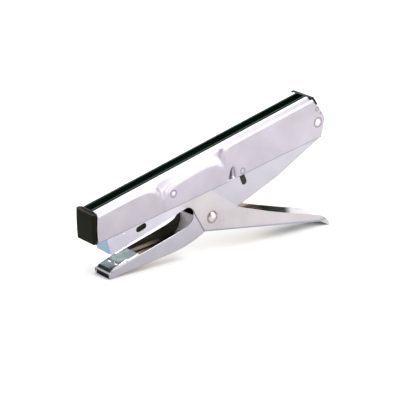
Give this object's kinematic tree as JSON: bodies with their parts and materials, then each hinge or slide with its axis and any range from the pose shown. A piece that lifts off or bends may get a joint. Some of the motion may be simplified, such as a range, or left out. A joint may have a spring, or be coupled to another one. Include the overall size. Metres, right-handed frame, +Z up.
{
  "type": "plier stapler",
  "caption": "Hand-held all-metal plier stapler with a long cover, black top strip, open lower jaw with anvil and a squeeze handle.",
  "frame": {"origin": "centre of the box's bottom face: the stapler stands on a table on the tip of its jaw and the end of its handle", "axes": "+Z up, +X rearwards from the front cap to the handle's end, +Y to the stapler's far side; the body is pitched rear end up by 15.0 degrees"},
  "size_m": [0.1938, 0.0212, 0.0908],
  "materials": {
    "nickel_steel": "satin nickel plate, faint brushing, slightly lavender",
    "rivet_steel": "turned and plated rivet steel",
    "anvil_chrome": "hard bright plate over dark steel",
    "spring_steel": "oiled spring steel",
    "staple_wire": "galvanised flat wire",
    "black_plastic": "moulded ABS, semi-gloss black"
  },
  "bodies": {
    "frame": {"frame_channel": "nickel_steel", "anvil_plate": "anvil_chrome", "anvil_rivets": "rivet_steel", "main_rivet": "rivet_steel", "pivot_bush": "rivet_steel", "rear_rivets": "rivet_steel", "return_spring": "spring_steel"},
    "head": {"top_cover": "nickel_steel", "top_strip": "black_plastic", "front_cap": "black_plastic", "driver_blade": "spring_steel", "driver_holder": "rivet_steel", "driver_rivets": "rivet_steel", "cross_pin": "rivet_steel", "stop_studs": "rivet_steel", "rear_cap_pin": "rivet_steel", "magazine_spring": "spring_steel"},
    "rear_cap": {"rear_cap": "black_plastic"},
    "magazine": {"magazine_channel": "nickel_steel", "staple_core": "nickel_steel", "nose_plate": "nickel_steel", "spring_seat": "nickel_steel", "staple_strip": "staple_wire", "guide_rod": "spring_steel", "rear_stop": "black_plastic"},
    "pusher": {"pusher": "black_plastic", "pusher_spring": "spring_steel"},
    "handle": {"handle_lever": "nickel_steel"}
  },
  "joints": [
    {"name": "handle_hinge", "type": "hinge", "parent": "frame", "child": "handle", "pos_m": [-0.00436, 0, 0.02519], "axis": [0, -1, 0], "range_deg": [0, 22], "stiffness_Nm_per_rad": 1.2, "springref_deg": -34.38, "deforming": ["return_spring"]},
    {"name": "head_hinge", "type": "hinge", "parent": "frame", "child": "head", "pos_m": [0.07953, 0, 0.07331], "axis": [0, -1, 0], "range_deg": [0, 5.6], "deforming": ["magazine_spring"]},
    {"name": "magazine_hinge", "type": "hinge", "parent": "frame", "child": "magazine", "pos_m": [0.07953, 0, 0.07331], "axis": [0, -1, 0], "range_deg": [0, 3]},
    {"name": "pusher_slide", "type": "slide", "parent": "magazine", "child": "pusher", "axis": [0.9506, 0, 0.3103], "range_m": [0, 0.06], "stiffness_N_per_m": 80, "springref_m": -0.06, "deforming": ["pusher_spring"]},
    {"name": "rear_cap_hinge", "type": "hinge", "parent": "head", "child": "rear_cap", "pos_m": [0.07784, 0, 0.08228], "axis": [0, 1, 0], "range_deg": [0, 55]}
  ],
  "couplings": [
    {"joint": "head_hinge", "follows": "handle_hinge", "ratio": 0.25454},
    {"joint": "magazine_hinge", "follows": "handle_hinge", "ratio": 0.13636}
  ]
}
